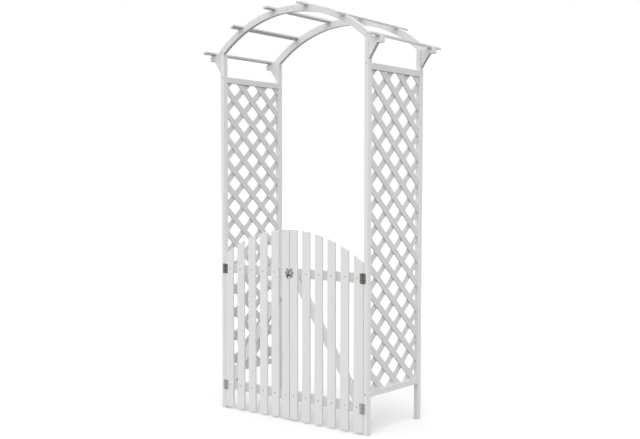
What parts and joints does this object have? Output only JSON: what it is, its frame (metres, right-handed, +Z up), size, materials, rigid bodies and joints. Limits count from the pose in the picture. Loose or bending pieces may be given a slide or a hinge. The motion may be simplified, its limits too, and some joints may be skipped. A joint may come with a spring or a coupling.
{
  "type": "garden arch with gate",
  "caption": "White wooden garden arch with lattice side panels, curved top with cross slats, and a double-leaf picket gate with a turn-button latch.",
  "frame": {"origin": "on the ground, in the middle between the four posts", "axes": "+Z up, +X to the right along the gate seen from its front, +Y from the gate's front to the back of the arch"},
  "size_m": [1.212, 0.6362, 2.2476],
  "materials": {
    "white_paint": "white paint on planed softwood, satin, faint grain and brush marks",
    "white_paint_slats": "white paint on rough-planed thin softwood slats, matt to satin",
    "hinge_steel": "dull grey plated steel, darkened by weather",
    "pin_steel": "dull plated steel, domed ends",
    "latch_steel": "pressed sheet steel, dull grey plating",
    "button_steel": "pressed sheet steel, lighter where it is handled"
  },
  "bodies": {
    "root": {"post_front_left": "white_paint", "post_front_right": "white_paint", "post_back_left": "white_paint", "post_back_right": "white_paint", "panel_top_rail_left": "white_paint", "panel_bottom_rail_left": "white_paint", "panel_lattice_left": "white_paint_slats", "panel_top_rail_right": "white_paint", "panel_bottom_rail_right": "white_paint", "panel_lattice_right": "white_paint_slats", "arch_front_left_half": "white_paint", "arch_front_right_half": "white_paint", "arch_back_left_half": "white_paint", "arch_back_right_half": "white_paint", "bracket_front_left": "white_paint", "bracket_front_right": "white_paint", "bracket_back_left": "white_paint", "bracket_back_right": "white_paint", "purlin_1": "white_paint", "purlin_2": "white_paint", "purlin_3": "white_paint", "purlin_4": "white_paint", "purlin_5": "white_paint", "purlin_6": "white_paint", "hinge_upper_left_post_leaf": "hinge_steel", "hinge_upper_left_pin": "pin_steel", "hinge_lower_left_post_leaf": "hinge_steel", "hinge_lower_left_pin": "pin_steel", "hinge_upper_right_post_leaf": "hinge_steel", "hinge_upper_right_pin": "pin_steel", "hinge_lower_right_post_leaf": "hinge_steel", "hinge_lower_right_pin": "pin_steel"},
    "gate_left": {"gate_left_picket_1": "white_paint", "gate_left_picket_2": "white_paint", "gate_left_picket_3": "white_paint", "gate_left_picket_4": "white_paint", "gate_left_picket_5": "white_paint", "gate_left_picket_6": "white_paint", "gate_left_upper_rail": "white_paint", "gate_left_lower_rail": "white_paint", "gate_left_brace": "white_paint", "hinge_upper_left_gate_leaf": "hinge_steel", "hinge_lower_left_gate_leaf": "hinge_steel", "latch_plate_left": "latch_steel", "latch_pivot": "latch_steel"},
    "gate_right": {"gate_right_picket_1": "white_paint", "gate_right_picket_2": "white_paint", "gate_right_picket_3": "white_paint", "gate_right_picket_4": "white_paint", "gate_right_picket_5": "white_paint", "gate_right_picket_6": "white_paint", "gate_right_upper_rail": "white_paint", "gate_right_lower_rail": "white_paint", "gate_right_brace": "white_paint", "hinge_upper_right_gate_leaf": "hinge_steel", "hinge_lower_right_gate_leaf": "hinge_steel", "latch_plate_right": "latch_steel"},
    "turn_button": {"latch_turn_button": "button_steel"}
  },
  "joints": [
    {"name": "gate_left", "type": "hinge", "parent": "root", "child": "gate_left", "pos_m": [-0.4925, -0.25325, 0], "axis": [0, 0, 1], "range_deg": [-165, 0]},
    {"name": "gate_right", "type": "hinge", "parent": "root", "child": "gate_right", "pos_m": [0.4925, -0.25325, 0], "axis": [0, 0, 1], "range_deg": [0, 165]},
    {"name": "turn_button", "type": "hinge", "parent": "gate_left", "child": "turn_button", "pos_m": [-0.0165, -0.2535, 0.812], "axis": [0, -1, 0], "range_deg": [0, 90]}
  ]
}
